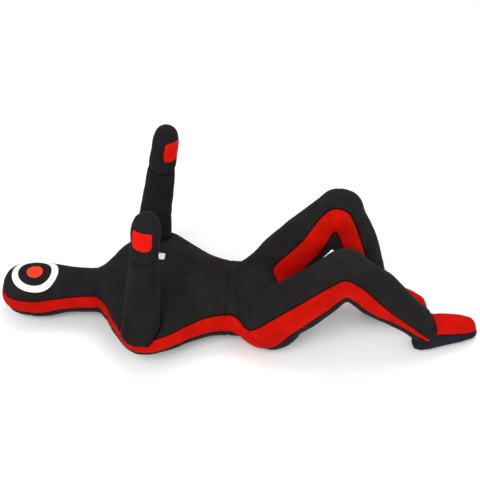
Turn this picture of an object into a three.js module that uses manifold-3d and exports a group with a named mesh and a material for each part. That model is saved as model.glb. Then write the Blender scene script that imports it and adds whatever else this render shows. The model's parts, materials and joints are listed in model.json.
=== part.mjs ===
// Stuffed grappling dummy lying on its back with its arms up and its knees bent.
// Millimetres. +X runs from the crown to the feet, +Y to the dummy's left, +Z up.
// Every segment is a sewn cover of separate panels round a solid filling, and each
// joint is a round end of one segment in a dish of its neighbour.
import * as THREE from 'three';
import { mergeVertices } from 'three/addons/utils/BufferGeometryUtils.js';
import Module from 'manifold-3d';

const wasm = await Module();
wasm.setup();

// ---------- driving dimensions ----------
const COVER = 3.5;           // quilted cover thickness
const FILL_INSET = 5.5;      // filling surface below the outside of the cover
const SEAM_GAP = 0.6;        // half of the gap left at every seam
const ROUGHNESS = 0.35;      // how far a trimmed piece may be smoothed
const JOINT_GAP = 2.5;       // between a round end and the dish round it
const AROUND = 12;           // points round the outside of a limb's cover
const INNER_AROUND = 8;     // points round its inside and its filling
const TRUNK_AROUND = 20;     // the same for the torso and head
const TRUNK_INNER = 12;
const FAR = 2500;            // half side of the blocks that trim a piece

// Joint centres, with X measured from the crown
const NECK = new THREE.Vector3(352, 0, 104);
const NECK_R = 78;
const NECK_NODS = [-22, 35];  // degrees back and forward that the chest is hollowed for
const WAIST = new THREE.Vector3(742, 0, 98);
const WAIST_R = 112;
const SHOULDER_R = 74;
const SHOULDER_SWING = 55;   // degrees each way that the chest is hollowed for
const HIP = new THREE.Vector3(918, 98, 97);
const HIP_R = 94;
const HIP_FLEX_ELEVATION = 76; // steepest thigh above the floor line
const KNEE_R = 79;
const KNEE_TIGHTEST = 56;    // degrees between thigh and shin that the knee is trimmed for
const ELBOW_R = 53;
const ELBOW_TIGHTEST = 98;
const ANKLE_R = 56;
const ANKLE_SWING = 20;      // degrees each way that the foot is hollowed for
const UPPER_ARM = 212;       // shoulder centre to elbow centre

// Each side: y +1 is the dummy's left. Knees and ankles are where the legs rest, armLean
// is the degrees that the raised arm leans to the feet, and palmTurn is where its patch
// faces: 0 is to the feet and -90 is to the dummy's right.
const SIDES = [
  {
    name: 'right',
    y: -1,
    shoulder: new THREE.Vector3(519, -195, 194),
    armLean: 6.2,
    palmTurn: -102,
    knee: new THREE.Vector3(1170, -88, 343),
    ankle: new THREE.Vector3(1456, -94, 92),
    toeTurn: 17,
  },
  {
    name: 'left',
    y: 1,
    shoulder: new THREE.Vector3(512, 195, 204),
    armLean: 9,
    palmTurn: -44,
    knee: new THREE.Vector3(1150, 125, 403),
    ankle: new THREE.Vector3(1289, 50, 92),
    toeTurn: -4,
  },
];

// Profiles: distance along the segment, half width, half depth
const HEAD_PROFILE = [
  [0, 14, 14], [9, 44, 44], [27, 65, 65], [55, 83, 84], [90, 92, 93], [130, 91, 93],
  [180, 83, 86], [235, 76, 79], [290, 74, 76], [352, 74, 75],
];
const HEAD_AXIS = [[0, 90], [130, 91], [352, 104]]; // X and height of the centre line
const TORSO_PROFILE = [
  [356, 92, 96], [390, 149, 108], [436, 219, 117], [485, 258, 118], [535, 265, 119],
  [590, 246, 118], [660, 195, 112], [720, 163, 104], [805, 147, 98], [880, 164, 103],
];
const BACK_FLAT = 4;         // how much of the rounded back is pressed flat by the floor
const THIGH_PROFILE = [[0, 94, 94], [160, 90, 90], [310, 80, 80]];
const SHIN_PROFILE = [[20, 78, 78], [140, 77, 77], [310, 59, 59]];
const UPPER_ARM_PROFILE = [[0, 62, 62], [170, 53, 53]];
const FOREARM_PROFILE = [[8, 53, 53]];
const WRIST = 47;            // sleeve radius at the mitt seam
const FOREARM_LENGTH = 98;   // elbow centre to the mitt seam
const MITT_PROFILE = [
  [0, 47, 47], [64, 44, 44], [96, 46, 45], [128, 44, 41], [152, 34, 31], [167, 15, 14],
];
const FOOT_PROFILE = [
  [-38, 20, 30], [-27, 37, 46], [0, 47, 60], [50, 48, 66], [105, 46, 59], [150, 38, 50],
  [180, 26, 38], [194, 12, 24],
];

// Red side strip: distance along the segment, half height of the strip
const HEAD_STRIP = [[-20, 30], [120, 30], [400, 24]];
const TORSO_STRIP = [[300, 23], [430, 24], [560, 30], [700, 30], [800, 34], [850, 44], [950, 52]];
const THIGH_STRIP = [[-150, 52], [60, 40], [200, 33], [600, 33]];
const SHIN_STRIP = [[-120, 33], [120, 32], [260, 18], [400, 8], [520, 8]];
const FOOT_SEAM = [116, 44]; // height of the instep panel's edge at the heel and the toe

const TARGET_X = 122;        // centre of the round target on the face
const TARGET_RING = [80, 56];
const TARGET_DOT = 28;
const PATCH = 1.2;           // thickness of the sewn patches
const PATCH_GAP = 0.5;
const PALM_PATCH = { width: 68, length: 78, middle: 90 }; // middle: from the mitt seam
const LABEL = { x: 548, y: 52, width: 34, length: 46, thickness: 1.4 };
const ZIP = { from: 430, to: 672, width: 26, thickness: 2.4, depth: 1.4 };
const ZIP_SLIDER = { length: 16, width: 10, thickness: 3.2, pull: 30 };

// ---------- materials ----------
const BLACK = { color: 0x262525, roughness: 0.9, metalness: 0 };
const RED = { color: 0xe01507, roughness: 0.85, metalness: 0 };
const NAVY = { color: 0x1b1b26, roughness: 0.85, metalness: 0 };
const WHITE = { color: 0xf0eee8, roughness: 0.8, metalness: 0 };
const FILLING = { color: 0xb9b2a3, roughness: 1, metalness: 0 };
const METAL = { color: 0x55565a, roughness: 0.4, metalness: 0.9 };

// ---------- solids ----------
const radians = THREE.MathUtils.degToRad;

function solid(geometry) {
  const bare = geometry.clone();
  bare.deleteAttribute('normal');
  bare.deleteAttribute('uv');
  const merged = mergeVertices(bare, 1e-4);
  const mesh = new wasm.Mesh({
    numProp: 3,
    vertProperties: new Float32Array(merged.attributes.position.array),
    triVerts: new Uint32Array(merged.index.array),
  });
  return new wasm.Manifold(mesh);
}

function largestBody(body) {
  const bodies = body.decompose();
  return bodies.reduce((best, next) => (next.volume() > best.volume() ? next : best));
}

function geometryOf(body) {
  const mesh = largestBody(body).simplify(ROUGHNESS).getMesh();
  const geometry = new THREE.BufferGeometry();
  geometry.setAttribute('position', new THREE.BufferAttribute(mesh.vertProperties, 3));
  geometry.setIndex(new THREE.BufferAttribute(mesh.triVerts, 1));
  return geometry;
}

function middleOf(points) {
  const sum = points.reduce((total, point) => total.add(point), new THREE.Vector3());
  return sum.divideScalar(points.length);
}

// A closed skin through rings of points, with a fan at each end.
function skin(rings) {
  const around = rings[0].length;
  const positions = rings.flat().flatMap((point) => point.toArray());
  const index = [];
  for (let ring = 0; ring + 1 < rings.length; ring += 1) {
    for (let i = 0; i < around; i += 1) {
      const a = ring * around + i;
      const b = ring * around + ((i + 1) % around);
      index.push(a, b, a + around, b, b + around, a + around);
    }
  }
  const last = (rings.length - 1) * around;
  for (let i = 1; i + 1 < around; i += 1) {
    index.push(0, i + 1, i);
    index.push(last, last + i, last + i + 1);
  }
  const [first, second] = rings[0];
  const inward = rings.at(-1)[0].clone().sub(first);
  const turned = first.clone().sub(middleOf(rings[0])).cross(second.clone().sub(first));
  if (turned.dot(inward) < 0) index.reverse();
  const geometry = new THREE.BufferGeometry();
  geometry.setAttribute('position', new THREE.Float32BufferAttribute(positions, 3));
  geometry.setIndex(index);
  return solid(geometry);
}

// A segment's own axes: along it, to its outer side and to its front.
function segmentFrame(from, to, outward, frontward) {
  const along = to.clone().sub(from).normalize();
  const front = along.clone().cross(outward).normalize();
  if (front.dot(frontward) < 0) front.negate();
  const side = outward.clone().addScaledVector(along, -outward.dot(along)).normalize();
  return { origin: from, along, side, front, length: from.distanceTo(to) };
}

function pointIn(frame, s, side, front) {
  return frame.origin.clone()
    .addScaledVector(frame.along, s)
    .addScaledVector(frame.side, side)
    .addScaledVector(frame.front, front);
}

// Elliptical rings along a straight segment. A round end is a dome of its own radius.
function limb(frame, profile, inset, around, { startDome = 0, endDome = 0 } = {}) {
  const stations = profile.map(([s, a, b]) => [s, a - inset, b - inset]);
  const domeAngles = [20, 55];
  if (startDome > 0) {
    const r = startDome - inset;
    const dome = domeAngles.map((angle) => [
      -r * Math.cos(radians(angle)),
      r * Math.sin(radians(angle)),
      r * Math.sin(radians(angle)),
    ]);
    stations.unshift(...dome);
  }
  if (endDome > 0) {
    const r = endDome - inset;
    const dome = domeAngles.slice().reverse().map((angle) => [
      frame.length + r * Math.cos(radians(angle)),
      r * Math.sin(radians(angle)),
      r * Math.sin(radians(angle)),
    ]);
    stations.push([frame.length, r, r], ...dome);
  }
  const rings = stations.map(([s, a, b]) => {
    const ring = [];
    for (let i = 0; i < around; i += 1) {
      const turn = (2 * Math.PI * (i + 0.5)) / around;
      ring.push(pointIn(frame, s, a * Math.sin(turn), b * Math.cos(turn)));
    }
    return ring;
  });
  return skin(rings);
}

// Elliptical rings along X whose centre line may rise: the head and the torso.
function trunk(profile, centreHeight, inset, around, shift = 0) {
  const rings = profile.map(([x, a, b]) => {
    const ring = [];
    for (let i = 0; i < around; i += 1) {
      const turn = (2 * Math.PI * (i + 0.5)) / around;
      ring.push(new THREE.Vector3(
        x + shift,
        -(a - inset) * Math.sin(turn),
        centreHeight(x) + (b - inset) * Math.cos(turn),
      ));
    }
    return ring;
  });
  return skin(rings);
}

function interpolate(table, x) {
  const after = table.findIndex(([key]) => key >= x);
  if (after === 0) return table[0][1];
  if (after < 0) return table[table.length - 1][1];
  const [x0, y0] = table[after - 1];
  const [x1, y1] = table[after];
  return y0 + ((x - x0) / (x1 - x0)) * (y1 - y0);
}

// A faceted ball whose flats, not its corners, are at the radius.
function ball(centre, radius, columns = 14, rows = 8) {
  const corner = radius / (Math.cos(Math.PI / columns) * Math.cos(Math.PI / (2 * rows)));
  const sphere = new THREE.SphereGeometry(corner, columns, rows);
  sphere.translate(centre.x, centre.y, centre.z);
  return solid(sphere);
}

// The finer ball that keeps a round end whole where the rest is trimmed back.
function roundEnd(centre, radius) {
  return ball(centre, radius + 0.6, 28, 16);
}

// A block that fills the space on one side of a plane through a point.
function beyond(point, normal) {
  const block = new THREE.BoxGeometry(2 * FAR, 2 * FAR, FAR);
  block.translate(0, 0, FAR / 2);
  const turn = new THREE.Quaternion()
    .setFromUnitVectors(new THREE.Vector3(0, 0, 1), normal.clone().normalize());
  block.applyQuaternion(turn);
  block.translate(point.x, point.y, point.z);
  return solid(block);
}

function rod(from, direction, radius, length, sides = 12) {
  const corner = radius / Math.cos(Math.PI / sides);
  const cylinder = new THREE.CylinderGeometry(corner, corner, length, sides);
  cylinder.translate(0, length / 2, 0);
  const turn = new THREE.Quaternion()
    .setFromUnitVectors(new THREE.Vector3(0, 1, 0), direction.clone().normalize());
  cylinder.applyQuaternion(turn);
  cylinder.translate(from.x, from.y, from.z);
  return solid(cylinder);
}

// A prism across the segment whose height follows the strip, for cutting out the strips.
function stripPrism(frame, strip, extra) {
  const shape = new THREE.Shape();
  strip.forEach(([s, half], i) => {
    if (i === 0) shape.moveTo(s, half + extra);
    else shape.lineTo(s, half + extra);
  });
  strip.slice().reverse().forEach(([s, half]) => shape.lineTo(s, -half - extra));
  const prism = new THREE.ExtrudeGeometry(shape, { depth: 2 * FAR, bevelEnabled: false });
  prism.translate(0, 0, -FAR);
  const across = frame.along.clone().cross(frame.front);
  prism.applyMatrix4(new THREE.Matrix4().makeBasis(frame.along, frame.front, across));
  prism.translate(frame.origin.x, frame.origin.y, frame.origin.z);
  return solid(prism);
}

// Cuts a hollow cover along its two side strips.
function sewnPanels(shell, frame, strip) {
  const strips = shell.intersect(stripPrism(frame, strip, -SEAM_GAP));
  const rest = shell.subtract(stripPrism(frame, strip, SEAM_GAP));
  const middle = frame.origin;
  return {
    front: rest.intersect(beyond(middle, frame.front)),
    back: rest.intersect(beyond(middle, frame.front.clone().negate())),
    outer: strips.intersect(beyond(middle, frame.side)),
    inner: strips.intersect(beyond(middle, frame.side.clone().negate())),
  };
}

function carve(body, tools) {
  return tools.reduce((rest, tool) => rest.subtract(tool), body);
}

// ---------- assembly ----------
const dummy = new THREE.Group();

function add(parent, name, body, look) {
  const mesh = new THREE.Mesh(geometryOf(body), new THREE.MeshStandardMaterial(look));
  mesh.name = name;
  parent.add(mesh);
}

const UP = new THREE.Vector3(0, 0, 1);
const DOWN = new THREE.Vector3(0, 0, -1);
const TO_FEET = new THREE.Vector3(1, 0, 0);
const LEFT = new THREE.Vector3(0, 1, 0);
const RIGHT = new THREE.Vector3(0, -1, 0);
const floorAt = (height) => beyond(new THREE.Vector3(0, 0, height), DOWN);
const leaning = (degrees) => (
  new THREE.Vector3(Math.sin(radians(degrees)), 0, Math.cos(radians(degrees)))
);
const mirrored = (point, side) => new THREE.Vector3(point.x, point.y * side.y, point.z);

function makeHead() {
  const centre = (x) => interpolate(HEAD_AXIS, x);
  const domed = [...HEAD_PROFILE];
  for (const angle of [55, 20]) {
    const r = NECK_R * Math.sin(radians(angle));
    domed.push([NECK.x + NECK_R * Math.cos(radians(angle)), r, r]);
  }
  const outside = trunk(domed, centre, 0, AROUND + 2).subtract(floorAt(0));
  const inside = trunk(domed, centre, COVER, INNER_AROUND).subtract(floorAt(COVER));
  const filling = trunk(domed, centre, FILL_INSET, INNER_AROUND).subtract(floorAt(FILL_INSET));
  const trimEnds = (body, inset) => body
    .subtract(beyond(new THREE.Vector3(inset, 0, 0), new THREE.Vector3(-1, 0, 0)));
  const shell = outside.subtract(trimEnds(inside, COVER));
  const frame = segmentFrame(
    new THREE.Vector3(0, 0, HEAD_AXIS[0][1]),
    NECK.clone().setZ(NECK.z - 1),
    RIGHT,
    UP,
  );
  const strips = shell.intersect(stripPrism(frame, HEAD_STRIP, -SEAM_GAP));
  const rest = shell.subtract(stripPrism(frame, HEAD_STRIP, SEAM_GAP));
  const head = new THREE.Group();
  add(head, 'head_front_panel', rest.intersect(beyond(frame.origin, UP)), BLACK);
  add(head, 'head_back_panel', rest.intersect(beyond(frame.origin, DOWN)), BLACK);
  add(head, 'head_gusset', strips, RED);
  add(head, 'head_fill', trimEnds(filling, FILL_INSET), FILLING);

  const patchTop = trunk(HEAD_PROFILE, centre, -PATCH_GAP - PATCH, AROUND + 2);
  const patchUnder = trunk(HEAD_PROFILE, centre, -PATCH_GAP, AROUND + 2);
  const patch = patchTop.subtract(patchUnder);
  const targetAt = new THREE.Vector3(TARGET_X, 0, NECK.z);
  const [ringOut, ringIn] = TARGET_RING;
  const ring = rod(targetAt, UP, ringOut, 200, 28).subtract(rod(targetAt, UP, ringIn, 200, 28));
  add(head, 'target_ring', patch.intersect(ring), WHITE);
  add(head, 'target_dot', patch.intersect(rod(targetAt, UP, TARGET_DOT, 200, 16)), RED);
  return head;
}

// The head at the end of its nod, with room round it.
function noddedHead(degrees) {
  const centre = (x) => interpolate(HEAD_AXIS, x);
  return trunk(HEAD_PROFILE, centre, -JOINT_GAP, AROUND + 2)
    .translate([-NECK.x, 0, -NECK.z])
    .rotate([0, degrees, 0])
    .translate([NECK.x, 0, NECK.z]);
}

// Everything that the chest has to leave room for.
function chestHollows() {
  const hollows = [ball(NECK, NECK_R + JOINT_GAP), ...NECK_NODS.map(noddedHead)];
  for (const side of SIDES) {
    hollows.push(ball(side.shoulder, SHOULDER_R + JOINT_GAP));
    for (const swing of [-SHOULDER_SWING, SHOULDER_SWING]) {
      const direction = leaning(side.armLean + swing);
      const radius = UPPER_ARM_PROFILE[0][1] + JOINT_GAP;
      hollows.push(rod(side.shoulder, direction, radius, 300));
    }
  }
  return hollows;
}

function pelvisHollows() {
  const hollows = [];
  for (const side of SIDES) {
    const centre = mirrored(HIP, side);
    hollows.push(ball(centre, HIP_R + JOINT_GAP));
    const lift = radians(HIP_FLEX_ELEVATION);
    const direction = new THREE.Vector3(Math.cos(lift), 0, Math.sin(lift));
    hollows.push(rod(centre, direction, HIP_R + JOINT_GAP, 300));
  }
  return hollows;
}

// The waist is a barrel lying across the body: round on the pelvis, hollow in the chest.
function waistBarrel(radius) {
  const barrel = new THREE.CylinderGeometry(radius, radius, 2 * FAR, 40);
  barrel.translate(WAIST.x, 0, WAIST.z);
  return solid(barrel);
}

function makeTorso() {
  const depthAt = (x) => interpolate(TORSO_PROFILE.map(([s, , b]) => [s, b]), x);
  const centre = (x) => depthAt(x) - BACK_FLAT;
  const open = TORSO_PROFILE.map((row) => [...row]);
  open[0][0] -= 10;
  open[open.length - 1][0] += 10;
  const outside = trunk(TORSO_PROFILE, centre, 0, TRUNK_AROUND).subtract(floorAt(0));
  const inside = trunk(open, centre, COVER, TRUNK_INNER).subtract(floorAt(COVER));
  const shell = outside.subtract(inside);
  const filling = trunk(TORSO_PROFILE, centre, FILL_INSET, TRUNK_INNER)
    .subtract(floorAt(FILL_INSET));
  const frame = segmentFrame(
    new THREE.Vector3(0, 0, HIP.z),
    new THREE.Vector3(WAIST.x, 0, HIP.z),
    RIGHT,
    UP,
  );
  const panels = sewnPanels(shell, frame, TORSO_STRIP);
  const below = beyond(WAIST, new THREE.Vector3(1, 0, 0));
  const pelvisSide = below.add(waistBarrel(WAIST_R));
  const notChest = below.add(waistBarrel(WAIST_R + JOINT_GAP));

  const chestCuts = [notChest, ...chestHollows()];
  const chest = new THREE.Group();
  const zipSlot = new THREE.BoxGeometry(ZIP.to - ZIP.from, ZIP.width, 40);
  zipSlot.translate((ZIP.from + ZIP.to) / 2, 0, 0);
  const slot = solid(zipSlot);
  const backSplit = new THREE.BoxGeometry(2 * FAR, 2 * SEAM_GAP, 2 * FAR);
  const chestBack = carve(panels.back, [...chestCuts, slot, solid(backSplit)]);
  const middle = new THREE.Vector3();
  add(chest, 'chest_front_panel', carve(panels.front, chestCuts), BLACK);
  add(chest, 'chest_back_left', chestBack.intersect(beyond(middle, LEFT)), BLACK);
  add(chest, 'chest_back_right', chestBack.intersect(beyond(middle, RIGHT)), BLACK);
  add(chest, 'chest_gusset_left', carve(panels.inner, chestCuts), RED);
  add(chest, 'chest_gusset_right', carve(panels.outer, chestCuts), RED);
  add(chest, 'chest_fill', carve(filling, [...chestCuts, slot.translate([0, 0, -12])]), FILLING);
  add(chest, 'zip_tape', makeZipTape(), BLACK);
  add(chest, 'chest_label', makeLabel(outside), RED);

  const pelvis = new THREE.Group();
  const pelvisCuts = pelvisHollows();
  const lower = (body) => carve(body.intersect(pelvisSide), pelvisCuts);
  add(pelvis, 'pelvis_front_panel', lower(panels.front), BLACK);
  add(pelvis, 'pelvis_back_panel', lower(panels.back), BLACK);
  add(pelvis, 'pelvis_gusset_left', lower(panels.inner), RED);
  add(pelvis, 'pelvis_gusset_right', lower(panels.outer), RED);
  add(pelvis, 'pelvis_fill', lower(filling), FILLING);

  const slider = new THREE.Group();
  add(slider, 'zip_slider', makeZipSlider(), METAL);
  return [chest, pelvis, slider];
}

// The tape sits in the slot between the two back panels, clear of the floor.
function makeZipTape() {
  const clear = 2 * SEAM_GAP;
  const tape = new THREE.BoxGeometry(
    ZIP.to - ZIP.from - clear,
    ZIP.width - clear,
    ZIP.thickness,
  );
  tape.translate((ZIP.from + ZIP.to) / 2, 0, ZIP.depth + 3.2 + ZIP.thickness / 2);
  return solid(tape);
}

function makeZipSlider() {
  const body = new THREE.BoxGeometry(
    ZIP_SLIDER.length,
    ZIP_SLIDER.width,
    ZIP_SLIDER.thickness,
  );
  const pull = new THREE.BoxGeometry(ZIP_SLIDER.pull, 5, 1.4);
  pull.translate(ZIP_SLIDER.pull / 2, 0, -0.6);
  const both = solid(body).add(solid(pull));
  return both.translate([ZIP.from + 14, 0, ZIP.depth + ZIP_SLIDER.thickness / 2 - 0.2]);
}

function makeLabel(outside) {
  const block = new THREE.BoxGeometry(LABEL.length, LABEL.width, 200);
  block.translate(LABEL.x, LABEL.y, 200);
  const over = outside.translate([0, 0, PATCH_GAP]);
  const top = outside.translate([0, 0, PATCH_GAP + LABEL.thickness]);
  return solid(block).intersect(top).subtract(over);
}

function makeArm(side) {
  const { shoulder } = side;
  const armDirection = leaning(side.armLean);
  const outward = new THREE.Vector3(0, side.y, 0);
  const elbow = shoulder.clone().addScaledVector(armDirection, UPPER_ARM);
  const cuff = elbow.clone().addScaledVector(armDirection, FOREARM_LENGTH);
  const tip = cuff.clone().addScaledVector(armDirection, MITT_PROFILE.at(-1)[0]);
  const upper = segmentFrame(shoulder, elbow, outward, TO_FEET);
  const lower = segmentFrame(elbow, cuff, outward, TO_FEET);
  const hand = segmentFrame(cuff, tip, outward, TO_FEET);

  // The elbow closes towards the head, and each half is hollowed to meet the other.
  const toHead = leaning(side.armLean - 90);
  const half = radians(ELBOW_TIGHTEST / 2);
  const upperNormal = toHead.clone().multiplyScalar(Math.cos(half))
    .addScaledVector(armDirection, Math.sin(half));
  const lowerNormal = toHead.clone().multiplyScalar(Math.cos(half))
    .addScaledVector(armDirection, -Math.sin(half));
  const upperCuts = [beyond(elbow, upperNormal).subtract(roundEnd(elbow, ELBOW_R))];
  const lowerCuts = [ball(elbow, ELBOW_R + JOINT_GAP), beyond(elbow, lowerNormal)];

  const upperDomes = { startDome: SHOULDER_R, endDome: ELBOW_R };
  const shell = limb(upper, UPPER_ARM_PROFILE, 0, AROUND, upperDomes)
    .subtract(limb(upper, UPPER_ARM_PROFILE, COVER, INNER_AROUND, upperDomes))
    .subtract(beyond(pointIn(upper, -SHOULDER_R + 12, 0, 0), armDirection.clone().negate()));
  const group = new THREE.Group();
  add(group, `upper_arm_sleeve_${side.name}`, carve(shell, upperCuts), BLACK);
  add(group, `upper_arm_fill_${side.name}`,
    carve(limb(upper, UPPER_ARM_PROFILE, FILL_INSET, INNER_AROUND, upperDomes), upperCuts), FILLING);

  const sleeveProfile = [...FOREARM_PROFILE, [FOREARM_LENGTH - SEAM_GAP, WRIST, WRIST]];
  const longProfile = [[-2, ELBOW_R, ELBOW_R], [FOREARM_LENGTH + 5, WRIST, WRIST]];
  const sleeve = limb(lower, sleeveProfile, 0, AROUND)
    .subtract(limb(lower, longProfile, COVER, INNER_AROUND));
  add(group, `forearm_sleeve_${side.name}`, carve(sleeve, lowerCuts), BLACK);

  const mittOut = limb(hand, MITT_PROFILE, 0, AROUND);
  const mittOpen = [[-5, WRIST, WRIST], ...MITT_PROFILE.slice(1)];
  const mittIn = limb(hand, mittOpen, COVER, INNER_AROUND)
    .subtract(beyond(pointIn(hand, MITT_PROFILE.at(-1)[0] - COVER, 0, 0), armDirection));
  add(group, `hand_mitt_${side.name}`, mittOut.subtract(mittIn), BLACK);

  const fillProfile = [...FOREARM_PROFILE, [FOREARM_LENGTH, WRIST, WRIST]];
  const forearmFill = limb(lower, fillProfile, FILL_INSET, INNER_AROUND);
  const handProfile = [[-1, WRIST, WRIST], ...MITT_PROFILE.slice(1, -1)];
  const handFill = limb(hand, handProfile, FILL_INSET, INNER_AROUND);
  add(group, `forearm_fill_${side.name}`, carve(forearmFill.add(handFill), lowerCuts), FILLING);

  // Red patch on the palm.
  const { width, length, middle } = PALM_PATCH;
  const window = new THREE.BoxGeometry(width, width, length);
  window.translate(width / 2 + 20, 0, 0);
  window.rotateZ(radians(side.palmTurn));
  window.rotateY(radians(side.armLean));
  const patchAt = pointIn(hand, middle, 0, 0);
  window.translate(patchAt.x, patchAt.y, patchAt.z);
  const lifted = limb(hand, MITT_PROFILE, -PATCH_GAP - PATCH, AROUND)
    .subtract(limb(hand, MITT_PROFILE, -PATCH_GAP, AROUND));
  add(group, `palm_patch_${side.name}`, lifted.intersect(solid(window)), RED);
  return group;
}

function makeLeg(side) {
  const hip = mirrored(HIP, side);
  const kneeAxis = side.knee.clone().sub(hip).cross(side.ankle.clone().sub(side.knee));
  const outward = kneeAxis.normalize().multiplyScalar(side.y);
  const thigh = segmentFrame(hip, side.knee, outward, UP);
  const shin = segmentFrame(side.knee, side.ankle, outward, TO_FEET);

  const half = radians(KNEE_TIGHTEST / 2);
  const thighNormal = thigh.front.clone().multiplyScalar(-Math.cos(half))
    .addScaledVector(thigh.along, Math.sin(half));
  const shinNormal = shin.front.clone().multiplyScalar(-Math.cos(half))
    .addScaledVector(shin.along, -Math.sin(half));
  const thighCuts = [beyond(side.knee, thighNormal).subtract(roundEnd(side.knee, KNEE_R))];
  const shinCuts = [ball(side.knee, KNEE_R + JOINT_GAP), beyond(side.knee, shinNormal)];

  const thighDomes = { startDome: HIP_R, endDome: KNEE_R };
  const thighShell = limb(thigh, THIGH_PROFILE, 0, AROUND, thighDomes)
    .subtract(limb(thigh, THIGH_PROFILE, COVER, INNER_AROUND, thighDomes));
  const thighPanels = sewnPanels(thighShell, thigh, THIGH_STRIP);
  const group = new THREE.Group();
  const piece = (name, body, look) => add(group, `${name}_${side.name}`, body, look);
  piece('thigh_front_panel', carve(thighPanels.front, thighCuts), BLACK);
  piece('thigh_back_panel', carve(thighPanels.back, thighCuts), BLACK);
  piece('thigh_outer_strip', carve(thighPanels.outer, thighCuts), RED);
  piece('thigh_inner_strip', carve(thighPanels.inner, thighCuts), RED);
  piece('thigh_fill',
    carve(limb(thigh, THIGH_PROFILE, FILL_INSET, INNER_AROUND, thighDomes), thighCuts), FILLING);

  const shinDomes = { endDome: ANKLE_R };
  const shinOpen = [[-10, 78, 78], ...SHIN_PROFILE.slice(1)];
  const shinShell = limb(shin, SHIN_PROFILE, 0, AROUND, shinDomes)
    .subtract(limb(shin, shinOpen, COVER, INNER_AROUND, shinDomes));
  const shinPanels = sewnPanels(shinShell, shin, SHIN_STRIP);
  piece('shin_front_panel', carve(shinPanels.front, shinCuts), BLACK);
  piece('shin_back_panel', carve(shinPanels.back, shinCuts), BLACK);
  piece('shin_outer_strip', carve(shinPanels.outer, shinCuts), RED);
  piece('shin_inner_strip', carve(shinPanels.inner, shinCuts), RED);
  piece('shin_fill',
    carve(limb(shin, SHIN_PROFILE, FILL_INSET, INNER_AROUND, shinDomes), shinCuts), FILLING);

  for (const [name, body, look] of makeFoot(side)) piece(name, body, look);
  return group;
}

// The foot stands flat on the floor under the ankle and points where the toes turn.
function makeFoot(side) {
  const turn = radians(side.toeTurn);
  const forward = new THREE.Vector3(Math.cos(turn), Math.sin(turn), 0);
  const across = new THREE.Vector3(-Math.sin(turn), Math.cos(turn), 0);
  const pressed = 4;
  const foot = (inset, around) => {
    const first = FOOT_PROFILE[0][0];
    const last = FOOT_PROFILE.at(-1)[0];
    const rings = FOOT_PROFILE.map(([s, a, b]) => {
      const shortened = THREE.MathUtils.clamp(s, first + inset, last - inset);
      const centre = side.ankle.clone().setZ(b - pressed).addScaledVector(forward, shortened);
      const ring = [];
      for (let i = 0; i < around; i += 1) {
        const angle = (2 * Math.PI * (i + 0.5)) / around;
        ring.push(centre.clone()
          .addScaledVector(across, -(a - inset) * Math.sin(angle))
          .addScaledVector(UP, (b - inset) * Math.cos(angle)));
      }
      return ring;
    });
    return skin(rings).subtract(floorAt(inset));
  };
  const socket = [ball(side.ankle, ANKLE_R + JOINT_GAP)];
  for (const swing of [-ANKLE_SWING, 0, ANKLE_SWING]) {
    const upShin = side.knee.clone().sub(side.ankle).applyAxisAngle(across, radians(swing));
    socket.push(rod(side.ankle, upShin, SHIN_PROFILE.at(-1)[1] + JOINT_GAP, 200, 10));
  }
  const shell = foot(0, 12).subtract(foot(COVER, 8));
  const heel = side.ankle.clone().setZ(FOOT_SEAM[0]).addScaledVector(forward, FOOT_PROFILE[0][0]);
  const slope = forward.clone().multiplyScalar(FOOT_PROFILE.at(-1)[0] - FOOT_PROFILE[0][0])
    .addScaledVector(UP, FOOT_SEAM[1] - FOOT_SEAM[0]);
  const above = across.clone().cross(slope).normalize();
  if (above.z < 0) above.negate();
  const lift = above.clone().multiplyScalar(SEAM_GAP);
  const topPart = beyond(heel.clone().add(lift), above);
  const solePart = beyond(heel.clone().sub(lift), above.clone().negate());
  return [
    ['foot_instep_panel', carve(shell.intersect(topPart), socket), RED],
    ['foot_sole_panel', carve(shell.intersect(solePart), socket), NAVY],
    ['foot_fill', carve(foot(FILL_INSET, 8), socket), FILLING],
  ];
}

dummy.add(makeHead(), ...makeTorso());
for (const side of SIDES) dummy.add(makeArm(side), makeLeg(side));

// The origin is the centre of the underside of the box round the whole dummy.
const box = new THREE.Box3().setFromObject(dummy);
dummy.position.set(-(box.min.x + box.max.x) / 2, -(box.min.y + box.max.y) / 2, -box.min.z);

export default dummy;
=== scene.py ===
import json
import math

import bpy
import numpy as np
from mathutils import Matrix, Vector, noise
from mathutils.bvhtree import BVHTree

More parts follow.
